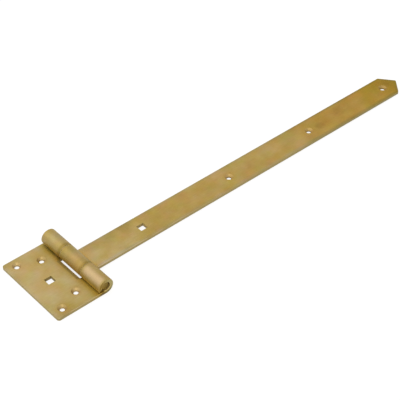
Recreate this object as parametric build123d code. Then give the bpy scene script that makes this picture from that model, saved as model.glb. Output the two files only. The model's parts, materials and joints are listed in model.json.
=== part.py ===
from build123d import *
import os
from math import acos, degrees, radians, sqrt, tan

# Gate hinge with a rectangular plate leaf, a long pointed strap leaf and one plain pin, in millimetres.
# X runs from the pin axis along the strap, Y along the pin, and Z up from the wall that carries both leaves.
# The origin lies on that wall, under the middle of the pin. The hinge is shown open flat.

# Sheet and pin
sheet_thickness = 4.0
pin_diameter = 10.4
pin_clearance = 0.1  # radial play of the pin in the rolled knuckles
pin_recess = 2.0  # depth of each pin end inside the barrel
pin_chamfer = 0.8
edge_break = 0.4  # chamfer on the sheared edges of both leaves

# Plate leaf
plate_length = 100.0
plate_reach = 60.5  # pin axis to the free edge
plate_corner_radius = 3.0

# Strap leaf
strap_width = 35.0
strap_reach = 485.5  # pin axis to the point, before it is rounded
point_angle = 102.0
point_radius = 1.5
shoulder_radius = 2.0

# Rolled knuckles
knuckle_gap = 0.5  # play along the pin between neighbouring knuckles
slot_relief = 1.7  # gap from the strap knuckle to the upper edge of the plate's slot
slot_corner_radius = 1.0
curl_mouth = 2.4  # gap from the free end of each curl to the leaf below it

# Round holes for countersunk screws and square holes for carriage bolts
screw_hole_diameter = 5.5
countersink_diameter = 10.0
countersink_angle = 90.0
bolt_hole_side = 9.0

# Hole places, measured from the pin axis along X and from the middle along Y
plate_outer_row = 48.5
plate_outer_spacing = 80.0
plate_inner_row = 24.0
plate_inner_spacing = 60.0
plate_bolt_hole = 34.7
strap_bolt_hole = 87.0
strap_last_screw = 23.5  # measured back from the point
strap_screws = 3  # evenly spaced from the bolt hole to the last screw

# Sizes that follow from the ones above
bore_radius = pin_diameter / 2 + pin_clearance
barrel_radius = bore_radius + sheet_thickness
axis_height = barrel_radius
curl_end_angle = degrees(acos(1 - (sheet_thickness + curl_mouth) / barrel_radius))
curl_sweep = 360 - curl_end_angle
slot_width = strap_width + 2 * knuckle_gap
slot_end = sqrt((barrel_radius + slot_relief) ** 2 - (axis_height - sheet_thickness) ** 2)
point_length = strap_width / 2 / tan(radians(point_angle / 2))
strap_hole_pitch = (strap_reach - strap_last_screw - strap_bolt_hole) / strap_screws
countersink_depth = (countersink_diameter - screw_hole_diameter) / 2 / tan(radians(countersink_angle / 2))
pin_length = plate_length - 2 * pin_recess
cut_margin = 2 * barrel_radius  # how far a cutting tool runs past the metal


def rolled_sheet(reach, width):
    """A flat sheet that runs from -X to the pin axis and then rolls up round the pin."""
    with BuildPart() as sheet:
        with BuildSketch(Plane.XZ):
            with BuildLine():
                back = Line((-reach, 0), (0, 0))
                outside = CenterArc((0, axis_height), barrel_radius, -90, curl_sweep)
                inside = CenterArc((0, axis_height), bore_radius, -90, curl_sweep)
                Line(outside @ 1, inside @ 1)
                face = Line(inside @ 0, (-reach, sheet_thickness))
                Line(face @ 1, back @ 0)
            make_face()
        extrude(amount=width / 2, both=True)
    return sheet.part


def break_edges(leaf):
    """Chamfer the sheared outline of a leaf, which starts from its side faces and goes all the way round."""
    sheared = leaf.faces().filter_by(Axis.Y).edges()
    return chamfer(sheared.filter_by(Axis.Z, reverse=True), edge_break)


def plan_cutter(outline):
    """A flat outline drawn out through the whole height of the hinge."""
    return extrude(outline, cut_margin, both=True)


def screw_hole():
    """The cutter of one countersunk screw hole, standing on the back of a leaf."""
    hole_radius = screw_hole_diameter / 2
    rim_radius = countersink_diameter / 2
    with BuildPart() as cutter:
        with BuildSketch(Plane.XZ):
            with BuildLine():
                Polyline(
                    (0, -cut_margin),
                    (hole_radius, -cut_margin),
                    (hole_radius, sheet_thickness - countersink_depth),
                    (rim_radius, sheet_thickness),
                    (rim_radius, cut_margin),
                    (0, cut_margin),
                    close=True,
                )
            make_face()
        revolve(axis=Axis.Z)
    return cutter.part


def bolt_hole():
    """The cutter of one square hole, which stops a carriage bolt from turning."""
    return plan_cutter(Rectangle(bolt_hole_side, bolt_hole_side))


def plate_leaf():
    """The rectangular leaf, with a knuckle at each end of the barrel and a slot between them."""
    leaf = rolled_sheet(plate_reach, plate_length)
    outer_corners = leaf.edges().filter_by(Axis.Z).group_by(Axis.X)[0]
    leaf = fillet(outer_corners, plate_corner_radius)

    slot = Pos(-slot_end, 0) * Rectangle(slot_end + cut_margin, slot_width, align=(Align.MIN, Align.CENTER))
    slot = fillet(slot.vertices().group_by(Axis.X)[0], slot_corner_radius)
    curl_room = Box(2 * cut_margin, slot_width, cut_margin, align=(Align.CENTER, Align.CENTER, Align.MIN))
    curl_room = Pos(0, 0, sheet_thickness + curl_mouth / 2) * curl_room
    leaf = break_edges(leaf - plan_cutter(slot) - curl_room)

    screws = [Pos(-plate_outer_row, side * plate_outer_spacing / 2) for side in (-1, 1)]
    screws += [Pos(-plate_inner_row, side * plate_inner_spacing / 2) for side in (-1, 1)]
    leaf -= [place * screw_hole() for place in screws]
    leaf -= Pos(-plate_bolt_hole, 0) * bolt_hole()
    return leaf


def strap_leaf():
    """The long leaf, with the middle knuckle at one end and a point at the other."""
    leaf = mirror(rolled_sheet(strap_reach, strap_width), about=Plane.YZ)
    shoulder = strap_reach - point_length
    outline = make_face(
        Polyline(
            (-cut_margin, -strap_width / 2),
            (shoulder, -strap_width / 2),
            (strap_reach, 0),
            (shoulder, strap_width / 2),
            (-cut_margin, strap_width / 2),
            close=True,
        )
    )
    outline = fillet(outline.vertices().group_by(Axis.X)[1], shoulder_radius)
    outline = fillet(outline.vertices().group_by(Axis.X)[-1], point_radius)
    leaf = break_edges(leaf & plan_cutter(outline))

    screws = [Pos(strap_bolt_hole + i * strap_hole_pitch, 0) for i in range(1, strap_screws + 1)]
    leaf -= [place * screw_hole() for place in screws]
    leaf -= Pos(strap_bolt_hole, 0) * bolt_hole()
    return leaf


def hinge_pin():
    """The plain round pin, with both ends chamfered."""
    pin = Cylinder(pin_diameter / 2, pin_length)
    pin = chamfer(pin.edges().filter_by(GeomType.CIRCLE), pin_chamfer)
    return Pos(0, 0, axis_height) * Rot(90, 0, 0) * pin


os.makedirs("parts", exist_ok=True)
export_step(plate_leaf(), "parts/plate_leaf.step")
export_step(strap_leaf(), "parts/strap_leaf.step")
export_step(hinge_pin(), "parts/hinge_pin.step")
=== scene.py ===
import json
from math import cos, pi, radians, sin

import bpy
from mathutils import Matrix, Vector


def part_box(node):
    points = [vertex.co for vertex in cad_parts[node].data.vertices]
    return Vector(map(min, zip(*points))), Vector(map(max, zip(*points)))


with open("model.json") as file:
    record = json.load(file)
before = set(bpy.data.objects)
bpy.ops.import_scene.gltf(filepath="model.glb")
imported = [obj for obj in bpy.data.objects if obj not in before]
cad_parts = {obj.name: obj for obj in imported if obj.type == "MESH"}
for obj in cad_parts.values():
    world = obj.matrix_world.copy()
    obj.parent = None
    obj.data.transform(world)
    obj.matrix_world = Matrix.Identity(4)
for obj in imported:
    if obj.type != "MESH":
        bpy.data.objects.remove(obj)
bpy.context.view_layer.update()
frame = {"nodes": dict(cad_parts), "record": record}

# The scene of a yellow zinc plated gate hinge that lies open on a white table, in metres.
# X runs from the pin along the strap, Y along the pin, and Z up from the table.
# The shapes are the CAD model's own. This script adds the finish, the floor, the light and the camera.
# A value whose name ends in FADE is a pair: where an effect starts, and where it is complete.

MM = 0.001

# Camera, fitted to the corners and holes of the hinge in the photograph, with angles in degrees
VIEW_AZIMUTH = -40.379
VIEW_ELEVATION = 41.819
VIEW_ROLL = -0.623
VIEW_TARGET = Vector((164.973, -4.883, 0)) * MM
VIEW_DISTANCE = 1423.99 * MM
FOCAL_LENGTH_PIXELS = 1290.77
IMAGE_PIXELS = 400
SENSOR_WIDTH = 36  # in the camera's own millimetres

# Floor and light
FLOOR_SIZE = 30.0
FLOOR_DROP = 0.1 * MM  # keeps the floor clear of the backs of both leaves
FLOOR_GLOW = 0.80  # what the camera sees of the floor where no light reaches it
FLOOR_SHARE = 0.24  # what the light adds to that
FLOOR_ALBEDO = 0.80  # the floor as the hinge is lit by it
ROOM_LIGHT = 0.90  # the white room as it lights the hinge
ROOM_WHITE = 1.0  # the same room as the camera and the metal see it
WHITE = (1, 1, 1, 1)
SOFTBOX_TARGET = Vector((0, 0, 0))
SOFTBOXES = (  # name, place, width, height, and brightness as a share of white
    ("key_softbox", Vector((-0.9, 1.3, 1.9)), 3.4, 1.8, 0.75),
    ("front_softbox", Vector((-1.3, -1.3, 1.5)), 1.6, 1.4, 1.6),
)

# Shapes of the hinge that the finish follows
POINT_ANGLE = 102  # of the strap's point, in degrees
SHEET_THICKNESS = 4 * MM
BORE_RADIUS = 5.3 * MM
CURL_MOUTH = (-4 * MM, 0, 4 * MM)  # where the plate's curl stops above its flat, in section
SLOT_EDGE = -11.9 * MM  # X of the plate's edge along its slot
COUNTERSINK_SLOPE = cos(radians(45))  # upward part of the normal of its wall
EDGE_SLOPE = cos(radians(45))  # sideways part of the normal of a broken edge
SCREW_HOLES = ("bolt_pattern",)  # kinds of mount in the record
SQUARE_HOLES = ("other",)
ALL_HOLES = SCREW_HOLES + SQUARE_HOLES

# Colours of the film on the zinc, in linear light
PALE_STRAW = (0.440, 0.325, 0.126, 1)
STRAW = (0.434, 0.315, 0.110, 1)
GOLD = (0.413, 0.278, 0.071, 1)
AMBER = (0.398, 0.240, 0.037, 1)
BRONZE = (0.350, 0.212, 0.008, 1)

# Colours where the film is worn or the steel was cut, and inside the holes and the barrel; some of them are
# painted light and shade, as marked
# Worn film along the edges; in the countersinks the same colour is a painted highlight
WORN_AND_HIGHLIGHT = (0.58, 0.43, 0.24, 1)
# A painted highlight for the flank of the near knuckle
ROSY_HIGHLIGHT = (0.575, 0.412, 0.252, 1)
SHEARED = (0.33, 0.255, 0.090, 1)
KNUCKLE_END = (0.34, 0.242, 0.058, 1)
# Painted shade and painted light across the knuckle ends, from the plate's side to the strap's
END_BROWN = (0.255, 0.150, 0.006, 1)
END_GREY = (0.37, 0.31, 0.115, 1)
# Painted light on the knuckle ends inside the gaps
GAP_FACE_LIGHT = (0.85, 0.74, 0.52, 1)
HOLE_WALL = (0.31, 0.228, 0.072, 1)
# Painted light at the foot of the plate's screw holes
HOLE_FOOT_LIGHT = (0.95, 0.90, 0.78, 1)
SQUARE_WALL = {"plate_leaf": HOLE_WALL, "strap_leaf": (0.40, 0.30, 0.115, 1)}
BORE_BROWN = (0.22, 0.135, 0.012, 1)
# Painted light at the mouth of the bore, dimmer on the strap's side
BORE_MOUTH_LIGHT = (0.85, 0.66, 0.24, 1)
BORE_MOUTH_DIM_LIGHT = (0.50, 0.38, 0.14, 1)
PIN_BROWN = (0.155, 0.094, 0.004, 1)
# Painted light on the pin's side towards the plate
PIN_LIT_SIDE = (0.215, 0.128, 0.006, 1)

# Tints that are multiplied into the film; some of them paint light and shade, as marked
BARREL_TINT = (0.88, 0.855, 0.71, 1)
# Painted shade in the barrel's crease
CREASE_SHADE_TINT = (1.00, 0.91, 0.50, 1)
# Painted shade beside the gaps between knuckles
JOINT_SHADE_TINT = (0.75, 0.72, 0.46, 1)
# Painted light on the shaded underside of the near knuckle
UNDERSIDE_LIGHT_TINT = (1.40, 1.38, 1.15, 1)
# Painted shade low down on the knuckle ends
END_LOW_SHADE_TINT = (0.62, 0.62, 0.58, 1)
# Painted shade in the mouth of the plate's curl
MOUTH_SHADE_TINT = (0.62, 0.58, 0.40, 1)
SLOT_TINT = (0.66, 0.70, 0.90, 1)
RIM_TINT = (0.90, 0.98, 1.35, 1)
POINT_TINT = (0.86, 0.88, 0.86, 1)
DEEP_TINT = (0.82, 0.80, 0.58, 1)
DARK_TINT = (0.86, 0.83, 0.72, 1)
SHADE_TINT = (0.78, 0.80, 0.92, 1)
PALE_TINT = (1.08, 1.09, 1.24, 1)
PINK_TINT = (1.13, 1.06, 1.50, 1)
GREY_TINT = (0.97, 1.10, 1.60, 1)
OLIVE_TINT = (0.97, 1.06, 1.22, 1)
BROWN_TINT = (0.98, 0.93, 0.96, 1)
GOLDEN_TINT = (0.95, 0.96, 0.66, 1)

# The film along each leaf: stops from 0 at its lowest X to 1 at its highest, and the colour at each
FILM = {
    "plate_leaf": ((0.0, PALE_STRAW), (0.55, STRAW), (1.0, STRAW)),
    # On the strap the film deepens from the barrel to the point; part of that is a painted reflection that
    # fades towards the point
    "strap_leaf": ((0.05, STRAW), (0.2, GOLD), (0.66, GOLD), (0.75, AMBER), (0.86, AMBER), (0.94, BRONZE)),
}
WANDER_SIZE = 40 * MM  # of the soft noise that shifts those stops
WANDER_SPAN = 0.16
NOISE_SHIFT = {"plate_leaf": (0, 0, 0), "strap_leaf": (11, 4, 2)}  # gives each leaf clouds of its own

# Clouds in the film: size, and the two tints that each one swings between
CLOUD_DEPTH = {"plate_leaf": 1.0, "strap_leaf": 1.3}  # how far each leaf's clouds swing
CLOUDS = (
    (24 * MM, (0.80, 0.77, 0.34, 1), (1.20, 1.23, 1.66, 1)),
    (16 * MM, (0.98, 0.98, 1.38, 1), (1.02, 1.02, 0.62, 1)),
    (18 * MM, (0.92, 1.12, 0.96, 1), (1.08, 0.88, 1.04, 1)),
)

# Fine streaks along the way the steel was rolled, and their two tints
STREAK_WIDTH = 0.8 * MM
STREAK_STRETCH = (14, 1, 1)
STREAK_TINTS = ((0.84, 0.84, 0.80, 1), (1.16, 1.16, 1.20, 1))

# Soft stains in the film, and some patches of painted light and shade, as marked: X, Y, Z and radius in
# millimetres, and the tint that is multiplied in
STAINS_AND_PAINTED_LIGHT = {
    "plate_leaf": (
        (-46, -51, 4, 24, DEEP_TINT),
        (-60, 50, 4, 16, DEEP_TINT),
        (-30, -13, 4, 22, PALE_TINT),
        (-12, -37, 4, 20, PALE_TINT),
        (-6, 32, 17, 18, OLIVE_TINT),
        (-13, -9, 4, 17, PALE_TINT),
        (-13, 49, 4, 14, GREY_TINT),
        # painted shade on the right flank of the far knuckle, and warmer painted shade low in its crease
        (11, 34, 17, 13, SHADE_TINT),
        (-8, 34, 7, 8, GOLDEN_TINT),
    ),
    "strap_leaf": (
        (-5, 0, 17, 18, BROWN_TINT),
        # painted light along the near side of the strap by the barrel, and painted shade along its far side
        (28, -12, 4, 28, PALE_TINT),
        (27, 13, 4, 13, DARK_TINT),
        (68, -10, 4, 18, PALE_TINT),
        (50, 16, 4, 14, DARK_TINT),
        (74, 16, 4, 14, DARK_TINT),
        (280, -9, 4, 24, PALE_TINT),
        (354, -2, 4, 9, DARK_TINT),
        (388, 4, 4, 12, DARK_TINT),
        (424, 10, 4, 16, PINK_TINT),
        (432, -9, 4, 16, GOLDEN_TINT),
        (466, -3, 4, 18, BROWN_TINT),
        (474, 3, 4, 13, DARK_TINT),
    ),
}
STAIN_CORE = 0.2  # share of the radius within which a stain is complete
STAIN_NOISE = 7 * MM  # size of the noise that draws stains out of round
STAIN_SPREAD = 10 * MM  # how far that noise moves their outlines, in all

# Barrel: painted shade in its crease, and a band of painted shade beside each gap between two knuckles
CREASE_FADE = (9 * MM, 2 * MM)  # distance from the crease
JOINT_OFFSET = 18.1 * MM  # from the middle of the barrel to each band
JOINT_SHIFT = 1.55 * MM  # how far both bands lie towards the far end
JOINT_FADE = (4 * MM, 0.3 * MM)  # distance from the middle of a band

# Near knuckle: a painted highlight along its flank, and painted light on its underside
NEAR_KNUCKLE_FADE = (-18 * MM, -24 * MM)  # Y over which its painted highlight and painted light come in
FLANK_HIGHLIGHT_ANGLE = radians(30)  # from the top of the knuckle towards the plate
FLANK_HIGHLIGHT_SHARE = 0.55
FLANK_HIGHLIGHT_FADE = (8 * MM, 2 * MM)  # distance from the middle of the painted highlight on the flank
FLANK_HIGHLIGHT_END_FADE = (-50.5 * MM, -46.5 * MM)  # Y over which the painted highlight comes in from the barrel's end
UNDERSIDE_REACH = 0.75 * SHEET_THICKNESS  # how far the painted light on the underside goes past the barrel's radius
UNDERSIDE_FADE = (1.2, 0.5)  # height, in barrel radii

# Sheared ends of the knuckles, with painted shade and painted light on them
END_SHADE_TO_LIGHT = ((0.0, END_BROWN), (0.5, KNUCKLE_END), (1.0, END_GREY))
END_FILM_FADE = (-7 * MM, 7 * MM)  # X from the first of those colours to the last, from painted shade to painted light
END_LOW_FADE = (7 * MM, 3 * MM)  # height of the painted shade low down
END_REACH_FADE = (12.5 * MM, 9.5 * MM)  # distance from the pin axis
GAP_SPAN_FADE = (30 * MM, 20 * MM)  # distance from the middle of the barrel, along the pin
GAP_REACH_FADE = (9.3 * MM, 9.0 * MM)  # distance from the pin axis

# Bore, the mouth of the plate's curl, and the edge along its slot: painted light at the bore's mouth, and
# painted shade in the curl's mouth
BORE_FADE = (BORE_RADIUS + 0.6 * MM, BORE_RADIUS + 0.2 * MM)  # distance from the pin axis
BORE_MOUTH_FADE = (46 * MM, 48.5 * MM)  # distance from the middle of the barrel, along the pin
BORE_LOW_FADE = (-4 * MM, 4 * MM)  # X over which the painted light at the bore's mouth dims
CURL_MOUTH_FADE = (2.6 * MM, 0.9 * MM)  # distance from the mouth
SLOT_EDGE_FADE = (2.2 * MM, 0.5 * MM)  # distance from the edge
SLOT_SPAN_FADE = (19 * MM, 17 * MM)  # distance from the middle of the barrel, along the pin

# Outline of each leaf
UPRIGHT_FADE = (0.6, 0.3)  # upward part of the normal
SIDEWAYS_FADE = (0.75, 0.95)  # sideways part of the normal
SHEARED_SHARE = 0.85
FLAT_START = 0.5 * SHEET_THICKNESS  # from the barrel to where upright faces count as sheared edges
ENDS_REACH = 4 * SHEET_THICKNESS  # from the barrel to where sideways faces no longer count as its ends
RIM_SHARE = {"plate_leaf": 0.35, "strap_leaf": 1.0}
RIM_FADE = (4.5 * MM, 1.0 * MM)  # distance from the outline
POINT_FADE = (260 * MM, 380 * MM)  # X over which the edges darken towards the point
WORN_SHARE = 0.8
WORN_SLOPE_RANGE = 0.15  # how far a worn edge may lie from EDGE_SLOPE
WORN_WIDTH_FADE = (0.7 * MM, 0.5 * MM)  # distance from the outline
WORN_REACH_FADE = (260 * MM, 60 * MM)  # X
WORN_PATCH = 14 * MM
WORN_PATCH_FADE = (0.25, 0.6)  # noise

# Holes
FAR_AWAY = 1.0  # further than any hole is from any point of the hinge
HOLE_FADE = (8 * MM, 7 * MM)  # distance from a hole's middle, more than to any of its walls
FOOT_FADE = (1.0 * MM, 0.7 * MM)  # height of the painted light at the foot of the plate's screw holes
RING_FADE = (11 * MM, 4.5 * MM)  # distance from a hole's middle
RING_SHARE = 0.30
COUNTERSINK_RANGE = 0.08  # how far its wall may lie from COUNTERSINK_SLOPE
COUNTERSINK_FADE = (5.4 * MM, 5.0 * MM)  # distance from a hole's middle
# share of the painted highlight in the countersinks
COUNTERSINK_SHARE = 0.25

# Metal under the film
METALLIC = 0.75
SHEARED_METALLIC_LOSS = 0.3
ROUGHNESS = 0.48
ROUGHNESS_SPAN = 0.16
ROUGHNESS_PATCH = 18 * MM
SHEARED_ROUGHNESS = 0.10  # added on sheared faces
WALL_ROUGHNESS = 0.20  # added on the walls of holes

# Satin bump
GRAIN_SIZE = 0.5 * MM
ROLLING_WIDTH = 1.2 * MM
ROLLING_STRETCH = (40, 1, 1)
ROLLING_SHARE = 0.4
WAVE_SIZE = 9 * MM
WAVE_SHARE = 3.0
SATIN_STRENGTH = 0.35
BUMP_DEPTH = 0.03 * MM

# Pin
PIN_CLOUD = 5 * MM
PIN_CLOUD_FADE = (0.35, 0.7)  # noise
PIN_CLOUD_SHARE = 0.3
PIN_PALE_FADE = (3 * MM, -3 * MM)  # X over which the painted light on the plate's side comes in
PIN_GRAIN_SIZE = 0.4 * MM
PIN_BUMP_STRENGTH = 0.4
PIN_ROUGHNESS = 0.45

# Noise: how many finer layers it has, and how strong they are
PLAIN_DETAIL = 1.0
SOFT_DETAIL = 2.0
CLOUD_DETAIL = 3.0
PATCH_DETAIL = 4.0
NOISE_ROUGHNESS = 0.55


class Graph:
    """A short way to write the nodes of one material or world."""

    def __init__(self, owner):
        owner.use_nodes = True
        self.nodes = owner.node_tree.nodes
        self.links = owner.node_tree.links
        self.nodes.clear()

    def node(self, kind, inputs=None, **properties):
        """Add a node, set its properties, and set or link its inputs by name or by number."""
        made = self.nodes.new(kind)
        for name, value in properties.items():
            setattr(made, name, value)
        for name, value in (inputs or {}).items():
            if isinstance(value, bpy.types.NodeSocket):
                self.links.new(value, made.inputs[name])
            else:
                made.inputs[name].default_value = value
        return made

    def math(self, operation, *values):
        """One step of arithmetic on values or on other nodes' results."""
        return self.node("ShaderNodeMath", dict(enumerate(values)), operation=operation).outputs[0]

    def chain(self, operation, values):
        """The same step of arithmetic from each value to the next."""
        result = values[0]
        for value in values[1:]:
            result = self.math(operation, result, value)
        return result

    def product(self, *values):
        """Several values multiplied together."""
        return self.chain("MULTIPLY", values)

    def largest(self, *values):
        """The largest of several values."""
        return self.chain("MAXIMUM", values)

    def absolute(self, value):
        """A value without its sign."""
        return self.math("ABSOLUTE", value)

    def ramp(self, value, fade):
        """A smooth step from 0 where value is at the start of the fade to 1 where it is at its end."""
        start, end = fade
        ends = {"To Min": 0.0, "To Max": 1.0} if start < end else {"To Min": 1.0, "To Max": 0.0}
        inputs = {"Value": value, "From Min": min(fade), "From Max": max(fade), **ends}
        return self.node("ShaderNodeMapRange", inputs, interpolation_type="SMOOTHSTEP").outputs[0]

    def blend(self, amount, below, above, kind="MIX"):
        """One colour over another, or multiplied into it."""
        inputs = {0: amount, 6: below, 7: above}
        return self.node("ShaderNodeMix", inputs, data_type="RGBA", blend_type=kind).outputs[2]

    def tinted(self, amount, colour, tint):
        """A colour with a tint multiplied into it."""
        return self.blend(amount, colour, tint, "MULTIPLY")

    def fade(self, value, stops):
        """A colour that passes through the given stops, each a value and the colour there."""
        made = self.node("ShaderNodeValToRGB", {0: value})
        elements = made.color_ramp.elements
        while len(elements) < len(stops):
            elements.new(1.0)
        for element, (position, colour) in zip(elements, stops):
            element.position = position
            element.color = colour
        return made.outputs[0]

    def spots(self, place, size, detail=SOFT_DETAIL, stretch=(1, 1, 1), shift=(0, 0, 0)):
        """Soft noise from 0 to 1, with spots of about the given size, drawn out by stretch."""
        scale = [1 / (size * s) for s in stretch]
        moved = self.node("ShaderNodeMapping", {"Vector": place, "Location": shift, "Scale": scale})
        inputs = {"Vector": moved.outputs[0], "Scale": 1.0, "Detail": detail, "Roughness": NOISE_ROUGHNESS}
        return self.node("ShaderNodeTexNoise", inputs).outputs["Fac"]

    def swing(self, noise, span, middle=0.0):
        """Noise from 0 to 1, turned into a value that swings over the given span about its middle."""
        return self.math("MULTIPLY_ADD", noise, span, middle - span / 2)

    def parts(self, vector):
        """The X, Y and Z of a vector."""
        return self.node("ShaderNodeSeparateXYZ", {0: vector}).outputs

    def flattened(self, place, axes):
        """A place with only the axes that are 1 kept, and the others at zero."""
        return self.node("ShaderNodeVectorMath", {0: place, 1: axes}, operation="MULTIPLY").outputs[0]

    def distance(self, place, point):
        """The distance from one point."""
        made = self.node("ShaderNodeVectorMath", {0: place, 1: point}, operation="DISTANCE")
        return made.outputs["Value"]

    def bump(self, height, strength):
        """The normal of a surface that is raised by the given height."""
        inputs = {"Height": height, "Strength": strength, "Distance": BUMP_DEPTH}
        return self.node("ShaderNodeBump", inputs).outputs[0]


class Surface:
    """Where a point of a leaf lies, and which way the leaf faces there."""

    def __init__(self, graph, leaf):
        coordinates = graph.node("ShaderNodeTexCoord").outputs
        self.leaf = leaf
        self.low, self.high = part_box(leaf)
        self.barrel_radius = self.high.z / 2
        self.place = coordinates["Object"]
        self.x, self.y, self.z = graph.parts(self.place)
        _, facing_y, facing_z = graph.parts(coordinates["Normal"])
        self.facing_sideways = graph.absolute(facing_y)
        self.facing_up = facing_z
        self.off_axis = graph.absolute(self.x)
        self.off_middle = graph.absolute(self.y)
        self.section = graph.flattened(self.place, (1, 0, 1))
        self.plan = graph.flattened(self.place, (1, 1, 0))
        self.from_axis = graph.distance(self.section, (0, 0, self.barrel_radius))


def hole_centres(leaf, kinds):
    """The places of a leaf's holes in plan, from the mounts of the record."""
    low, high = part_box(leaf)
    centres = set()
    for mount in frame["record"]["mounts"]:
        x, y, _ = mount["pos_m"]
        half_x = mount["dims"].get("spacing_x_mm", 0) / 2 * MM
        half_y = mount["dims"].get("spacing_y_mm", 0) / 2 * MM
        if mount["kind"] in kinds and low.x < x < high.x:
            centres |= {(round(x + side * half_x, 6), round(y + side * half_y, 6)) for side in (-1, 1)}
    return sorted(centres)


def from_holes(graph, surface, kinds):
    """The distance from the middle of the nearest hole, in plan."""
    nearest = FAR_AWAY
    for centre_x, centre_y in hole_centres(surface.leaf, kinds):
        nearest = graph.math("MINIMUM", nearest, graph.distance(surface.plan, (centre_x, centre_y, 0)))
    return nearest


def plate_rim(graph, surface):
    """The distance from the outline of the plate leaf, in plan."""
    low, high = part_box("plate_leaf")
    from_end = graph.math("SUBTRACT", high.y, surface.off_middle)
    from_edge = graph.math("SUBTRACT", surface.x, low.x)
    return graph.math("MINIMUM", from_end, from_edge)


def strap_rim(graph, surface):
    """The distance from the outline of the strap leaf, in plan."""
    _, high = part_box("strap_leaf")
    half_angle = radians(POINT_ANGLE / 2)
    from_side = graph.math("SUBTRACT", high.y, surface.off_middle)
    from_tip = graph.math("SUBTRACT", high.x, surface.x)
    along_bevel = graph.product(from_tip, sin(half_angle))
    from_point = graph.math("SUBTRACT", along_bevel, graph.product(surface.off_middle, cos(half_angle)))
    return graph.math("MINIMUM", from_side, from_point)


def film_colour(graph, surface):
    """The colour of the film: it changes along the leaf, on the strap partly as a painted reflection that
    fades towards the point, and in clouds and streaks.
    """
    shift = NOISE_SHIFT[surface.leaf]
    ends = {"Value": surface.x, "From Min": surface.low.x, "From Max": surface.high.x}
    along = graph.node("ShaderNodeMapRange", ends).outputs[0]
    wander = graph.swing(graph.spots(surface.place, WANDER_SIZE, shift=shift), WANDER_SPAN)
    colour = graph.fade(graph.math("ADD", along, wander), FILM[surface.leaf])
    for size, low_tint, high_tint in CLOUDS:
        noise = graph.spots(surface.place, size, CLOUD_DETAIL, shift=shift)
        cloud = graph.swing(noise, CLOUD_DEPTH[surface.leaf], middle=0.5)
        colour = graph.tinted(1.0, colour, graph.blend(cloud, low_tint, high_tint))
    streaks = graph.spots(surface.place, STREAK_WIDTH, CLOUD_DETAIL, STREAK_STRETCH, shift)
    return graph.tinted(1.0, colour, graph.blend(streaks, *STREAK_TINTS))


def barrel_tints(graph, surface, colour):
    """Deepen the film on the rolled barrel, and paint shade into its crease and beside its gaps."""
    radius = surface.barrel_radius
    above_back = graph.ramp(surface.z, (0, SHEET_THICKNESS))
    beside_axis = graph.ramp(surface.off_axis, (radius + SHEET_THICKNESS, radius))
    barrel = graph.product(beside_axis, above_back)
    colour = graph.tinted(barrel, colour, BARREL_TINT)
    either_side = graph.node("ShaderNodeCombineXYZ", {0: surface.off_axis, 2: surface.z}).outputs[0]
    # painted shade in the crease
    from_crease = graph.distance(either_side, (radius, 0, SHEET_THICKNESS))
    crease_shade = graph.product(graph.ramp(from_crease, CREASE_FADE), above_back)
    colour = graph.tinted(crease_shade, colour, CREASE_SHADE_TINT)
    # painted shade beside each gap between knuckles
    from_middle = graph.absolute(graph.math("SUBTRACT", surface.y, JOINT_SHIFT))
    from_joint = graph.absolute(graph.math("SUBTRACT", from_middle, JOINT_OFFSET))
    joint_shade = graph.product(graph.ramp(from_joint, JOINT_FADE), barrel)
    return graph.tinted(joint_shade, colour, JOINT_SHADE_TINT)


def stains_and_painted_light(graph, surface, colour):
    """Soft stains in the film, and patches of painted light and shade, drawn out of round by noise."""
    uneven = graph.swing(graph.spots(surface.place, STAIN_NOISE), STAIN_SPREAD)
    for x, y, z, radius, tint in STAINS_AND_PAINTED_LIGHT[surface.leaf]:
        middle = (x * MM, y * MM, z * MM)
        away = graph.math("ADD", graph.distance(surface.place, middle), uneven)
        amount = graph.ramp(away, (radius * MM, STAIN_CORE * radius * MM))
        colour = graph.tinted(amount, colour, tint)
    return colour


def near_knuckle(graph, surface, colour):
    """The near knuckle: a painted rosy highlight along its flank, and painted light on its shaded underside.
    """
    radius = surface.barrel_radius
    on_knuckle = graph.ramp(surface.y, NEAR_KNUCKLE_FADE)
    flank = (-radius * sin(FLANK_HIGHLIGHT_ANGLE), 0, radius + radius * cos(FLANK_HIGHLIGHT_ANGLE))
    on_flank = graph.ramp(graph.distance(surface.section, flank), FLANK_HIGHLIGHT_FADE)
    flank_highlight = graph.product(on_flank, FLANK_HIGHLIGHT_SHARE, graph.ramp(surface.y, FLANK_HIGHLIGHT_END_FADE))
    colour = graph.blend(graph.product(on_knuckle, flank_highlight), colour, ROSY_HIGHLIGHT)
    beside_axis = graph.ramp(surface.off_axis, (radius + UNDERSIDE_REACH, radius))
    low_down = graph.ramp(surface.z, [share * radius for share in UNDERSIDE_FADE])
    under_light = graph.product(beside_axis, low_down)
    return graph.tinted(graph.product(on_knuckle, under_light), colour, UNDERSIDE_LIGHT_TINT)


def sheared_faces(graph, surface):
    """1 on sheared edges, hole walls and knuckle ends, and, as a second value, on the knuckle ends alone."""
    radius = surface.barrel_radius
    on_flat = graph.math("GREATER_THAN", surface.off_axis, radius + FLAT_START)
    upright = graph.ramp(graph.absolute(surface.facing_up), UPRIGHT_FADE)
    sideways = graph.ramp(surface.facing_sideways, SIDEWAYS_FADE)
    sheared = graph.largest(graph.product(upright, on_flat), sideways)
    by_barrel = graph.ramp(surface.off_axis, (radius + ENDS_REACH, radius))
    return sheared, graph.product(sideways, by_barrel)


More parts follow.
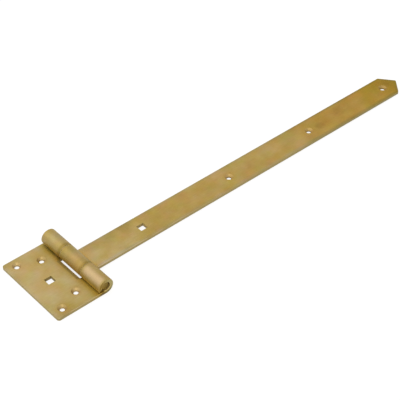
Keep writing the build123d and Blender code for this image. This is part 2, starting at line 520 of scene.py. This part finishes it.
def worn_edges(graph, surface, from_rim):
    """The amount of bright wear along the broken side edges of a leaf, in patches."""
    sideways = graph.math("COMPARE", surface.facing_sideways, EDGE_SLOPE, WORN_SLOPE_RANGE)
    on_edge = graph.ramp(from_rim, WORN_WIDTH_FADE)
    near_barrel = graph.ramp(surface.x, WORN_REACH_FADE)
    patches = graph.ramp(graph.spots(surface.place, WORN_PATCH, CLOUD_DETAIL), WORN_PATCH_FADE)
    return graph.product(sideways, WORN_SHARE, on_edge, near_barrel, patches)


def outline_finish(graph, surface, colour, rim, sheared):
    """The outline of a leaf: a greyer band, bright wear and sheared sides, darker towards the point."""
    radius = surface.barrel_radius
    from_rim = rim(graph, surface)
    flat = graph.ramp(surface.off_axis, (radius, radius + SHEET_THICKNESS))
    band = graph.product(flat, graph.ramp(from_rim, RIM_FADE))
    colour = graph.tinted(graph.product(band, RIM_SHARE[surface.leaf]), colour, RIM_TINT)
    worn = graph.product(flat, worn_edges(graph, surface, from_rim))
    colour = graph.blend(worn, colour, WORN_AND_HIGHLIGHT)
    colour = graph.blend(graph.product(sheared, SHEARED_SHARE), colour, SHEARED)
    at_point = graph.product(band, graph.ramp(surface.x, POINT_FADE))
    return graph.tinted(at_point, colour, POINT_TINT)


def knuckle_ends(graph, surface, colour, ends):
    """The sheared ends of the knuckles: painted shade on the plate's side turning to painted light on the
    strap's side, painted shade low down, and painted light in the gaps.
    """
    end = graph.fade(graph.ramp(surface.x, END_FILM_FADE), END_SHADE_TO_LIGHT)
    end = graph.tinted(graph.ramp(surface.z, END_LOW_FADE), end, END_LOW_SHADE_TINT)
    end = graph.blend(graph.ramp(surface.from_axis, END_REACH_FADE), KNUCKLE_END, end)
    between = graph.ramp(surface.off_middle, GAP_SPAN_FADE)
    in_gap_light = graph.product(between, graph.ramp(surface.from_axis, GAP_REACH_FADE))
    end = graph.blend(in_gap_light, end, GAP_FACE_LIGHT)
    return graph.blend(ends, colour, end)


def bore_finish(graph, surface, colour):
    """The wall of the bore: brown inside, with painted light at its mouth, most of all on the plate's side.
    """
    mouth = graph.blend(graph.ramp(surface.x, BORE_LOW_FADE), BORE_MOUTH_LIGHT, BORE_MOUTH_DIM_LIGHT)
    wall = graph.blend(graph.ramp(surface.off_middle, BORE_MOUTH_FADE), BORE_BROWN, mouth)
    return graph.blend(graph.ramp(surface.from_axis, BORE_FADE), colour, wall)


def curl_and_slot(graph, surface, colour):
    """On the plate, painted shade in the mouth of its curl, and the greyer edge along its slot."""
    # painted shade in the curl's mouth
    mouth = graph.ramp(graph.distance(surface.section, CURL_MOUTH), CURL_MOUTH_FADE)
    colour = graph.tinted(mouth, colour, MOUTH_SHADE_TINT)
    from_edge = graph.absolute(graph.math("SUBTRACT", surface.x, SLOT_EDGE))
    on_slot = graph.ramp(surface.off_middle, SLOT_SPAN_FADE)
    edge = graph.product(graph.ramp(from_edge, SLOT_EDGE_FADE), on_slot)
    return graph.tinted(edge, colour, SLOT_TINT)


def hole_walls(graph, surface, sheared):
    """1 on the walls of holes, and, as a second value, the colour of those walls, with painted light at the
    foot of the plate's screw holes.
    """
    beside_hole = graph.ramp(from_holes(graph, surface, ALL_HOLES), HOLE_FADE)
    beside_square = graph.ramp(from_holes(graph, surface, SQUARE_HOLES), HOLE_FADE)
    colour = graph.blend(beside_square, HOLE_WALL, SQUARE_WALL[surface.leaf])
    if surface.leaf == "plate_leaf":
        elsewhere = graph.math("SUBTRACT", 1.0, beside_square)
        foot_light = graph.product(graph.ramp(surface.z, FOOT_FADE), elsewhere)
        colour = graph.blend(foot_light, colour, HOLE_FOOT_LIGHT)
    return graph.product(sheared, beside_hole), colour


def screw_holes(graph, surface, colour):
    """A deeper ring that rinse water leaves round each screw hole, and a painted highlight that makes the
    countersinks paler.
    """
    nearest = from_holes(graph, surface, SCREW_HOLES)
    ring = graph.product(graph.ramp(nearest, RING_FADE), RING_SHARE)
    colour = graph.blend(ring, colour, AMBER)
    sloping = graph.math("COMPARE", surface.facing_up, COUNTERSINK_SLOPE, COUNTERSINK_RANGE)
    # painted highlight in the countersinks
    cone_highlight = graph.product(sloping, graph.ramp(nearest, COUNTERSINK_FADE))
    return graph.blend(graph.product(cone_highlight, COUNTERSINK_SHARE), colour, WORN_AND_HIGHLIGHT)


def roughness(graph, surface, sheared, walls):
    """The roughness of the metal: it differs in soft patches, and is higher where the steel was cut."""
    patches = graph.spots(surface.place, ROUGHNESS_PATCH, PATCH_DETAIL, shift=NOISE_SHIFT[surface.leaf])
    rough = graph.swing(patches, ROUGHNESS_SPAN, ROUGHNESS)
    rough = graph.math("MULTIPLY_ADD", sheared, SHEARED_ROUGHNESS, rough)
    return graph.math("MULTIPLY_ADD", walls, WALL_ROUGHNESS, rough)


def satin(graph, surface):
    """The bump of satin grain, faint rolling streaks and the slight waves of rolled steel."""
    grain = graph.spots(surface.place, GRAIN_SIZE)
    streaks = graph.spots(surface.place, ROLLING_WIDTH, stretch=ROLLING_STRETCH)
    waves = graph.spots(surface.place, WAVE_SIZE, PLAIN_DETAIL)
    height = graph.math("MULTIPLY_ADD", streaks, ROLLING_SHARE, grain)
    height = graph.math("MULTIPLY_ADD", waves, WAVE_SHARE, height)
    return graph.bump(height, SATIN_STRENGTH)


def yellow_zinc(leaf, rim):
    """Yellow passivated zinc on one leaf: a satin metal under a film of many golds, with light and shade
    painted into the film in places.
    """
    material = bpy.data.materials.new(f"yellow_zinc_{leaf}")
    graph = Graph(material)
    surface = Surface(graph, leaf)
    sheared, ends = sheared_faces(graph, surface)
    walls, wall_colour = hole_walls(graph, surface, sheared)
    colour = film_colour(graph, surface)
    colour = barrel_tints(graph, surface, colour)
    colour = stains_and_painted_light(graph, surface, colour)
    if leaf == "plate_leaf":
        colour = near_knuckle(graph, surface, colour)
    colour = outline_finish(graph, surface, colour, rim, sheared)
    colour = knuckle_ends(graph, surface, colour, ends)
    colour = bore_finish(graph, surface, colour)
    if leaf == "plate_leaf":
        colour = curl_and_slot(graph, surface, colour)
    colour = graph.blend(walls, colour, wall_colour)
    colour = screw_holes(graph, surface, colour)
    shader = graph.node(
        "ShaderNodeBsdfPrincipled",
        {
            "Base Color": colour,
            "Metallic": graph.math("MULTIPLY_ADD", sheared, -SHEARED_METALLIC_LOSS, METALLIC),
            "Roughness": roughness(graph, surface, sheared, walls),
            "Normal": satin(graph, surface),
        },
    )
    graph.node("ShaderNodeOutputMaterial", {"Surface": shader.outputs[0]})
    return material


def pin_zinc():
    """The duller, browner plating of the pin, with painted light on the plate's side, and a little paler in
    soft clouds.
    """
    material = bpy.data.materials.new("pin_zinc")
    graph = Graph(material)
    place = graph.node("ShaderNodeTexCoord").outputs["Object"]
    x, _, _ = graph.parts(place)
    # painted light on the plate's side of the pin
    side = graph.blend(graph.ramp(x, PIN_PALE_FADE), PIN_BROWN, PIN_LIT_SIDE)
    cloud = graph.ramp(graph.spots(place, PIN_CLOUD, CLOUD_DETAIL), PIN_CLOUD_FADE)
    shader = graph.node(
        "ShaderNodeBsdfPrincipled",
        {
            "Base Color": graph.blend(graph.product(cloud, PIN_CLOUD_SHARE), side, KNUCKLE_END),
            "Metallic": METALLIC,
            "Roughness": PIN_ROUGHNESS,
            "Normal": graph.bump(graph.spots(place, PIN_GRAIN_SIZE), PIN_BUMP_STRENGTH),
        },
    )
    graph.node("ShaderNodeOutputMaterial", {"Surface": shader.outputs[0]})
    return material


def dress_hinge():
    """Give each CAD node its finish."""
    finishes = {
        "plate_leaf": yellow_zinc("plate_leaf", plate_rim),
        "strap_leaf": yellow_zinc("strap_leaf", strap_rim),
        "hinge_pin": pin_zinc(),
    }
    for node, finish in finishes.items():
        for slot in frame["nodes"][node].material_slots:
            slot.material = finish


def white_for_viewer(graph):
    """1 for the rays that show the background, directly or in the metal, and 0 for those that light."""
    path = graph.node("ShaderNodeLightPath").outputs
    return graph.largest(path["Is Camera Ray"], path["Is Glossy Ray"], path["Is Transmission Ray"])


def floor_material():
    """White to the camera, with a faint shadow, and a plain pale floor to the light."""
    material = bpy.data.materials.new("floor_white")
    graph = Graph(material)
    glow = graph.node("ShaderNodeEmission", {"Color": WHITE, "Strength": FLOOR_GLOW})
    share = graph.node("ShaderNodeBsdfDiffuse", {"Color": (FLOOR_SHARE, FLOOR_SHARE, FLOOR_SHARE, 1)})
    seen = graph.node("ShaderNodeAddShader", {0: glow.outputs[0], 1: share.outputs[0]})
    plain = graph.node("ShaderNodeBsdfDiffuse", {"Color": (FLOOR_ALBEDO, FLOOR_ALBEDO, FLOOR_ALBEDO, 1)})
    amount = white_for_viewer(graph)
    mixed = graph.node("ShaderNodeMixShader", {0: amount, 1: plain.outputs[0], 2: seen.outputs[0]})
    graph.node("ShaderNodeOutputMaterial", {"Surface": mixed.outputs[0]})
    return material


def add_floor():
    """A large flat floor just under the hinge."""
    half = FLOOR_SIZE / 2
    sides = ((-half, -half), (half, -half), (half, half), (-half, half))
    corners = [(x, y, -FLOOR_DROP) for x, y in sides]
    mesh = bpy.data.meshes.new("floor")
    mesh.from_pydata(corners, [], [(0, 1, 2, 3)])
    mesh.materials.append(floor_material())
    floor = bpy.data.objects.new("floor", mesh)
    bpy.context.scene.collection.objects.link(floor)


def add_world():
    """A plain white room that the camera and the metal see as white."""
    world = bpy.data.worlds.new("white_room")
    bpy.context.scene.world = world
    graph = Graph(world)
    room = graph.node("ShaderNodeBackground", {"Color": WHITE, "Strength": ROOM_LIGHT})
    white = graph.node("ShaderNodeBackground", {"Color": WHITE, "Strength": ROOM_WHITE})
    amount = white_for_viewer(graph)
    mixed = graph.node("ShaderNodeMixShader", {0: amount, 1: room.outputs[0], 2: white.outputs[0]})
    graph.node("ShaderNodeOutputWorld", {"Surface": mixed.outputs[0]})


def add_softbox(name, place, width, height, brightness):
    """A rectangular soft light whose face is as bright as the given share of white."""
    light = bpy.data.lights.new(name, "AREA")
    light.shape = "RECTANGLE"
    light.size = width
    light.size_y = height
    light.energy = brightness * pi * width * height
    softbox = bpy.data.objects.new(name, light)
    softbox.location = place
    softbox.rotation_euler = (SOFTBOX_TARGET - place).to_track_quat("-Z", "Y").to_euler()
    bpy.context.scene.collection.objects.link(softbox)


def add_camera():
    """The camera at the photograph's viewing angle."""
    azimuth, elevation, roll = (radians(angle) for angle in (VIEW_AZIMUTH, VIEW_ELEVATION, VIEW_ROLL))
    back = Vector((sin(azimuth) * cos(elevation), -cos(azimuth) * cos(elevation), sin(elevation)))
    level = Vector((cos(azimuth), sin(azimuth), 0))
    upright = back.cross(level)
    right = level * cos(roll) + upright * sin(roll)
    up = upright * cos(roll) - level * sin(roll)
    lens = bpy.data.cameras.new("camera")
    lens.sensor_width = SENSOR_WIDTH
    lens.lens = FOCAL_LENGTH_PIXELS * SENSOR_WIDTH / IMAGE_PIXELS
    camera = bpy.data.objects.new("camera", lens)
    turn = Matrix((right, up, back)).transposed().to_4x4()
    camera.matrix_world = Matrix.Translation(VIEW_TARGET + back * VIEW_DISTANCE) @ turn
    bpy.context.scene.collection.objects.link(camera)
    bpy.context.scene.camera = camera


dress_hinge()
add_floor()
add_world()
for softbox in SOFTBOXES:
    add_softbox(*softbox)
add_camera()
bpy.context.scene.view_settings.view_transform = "Standard"
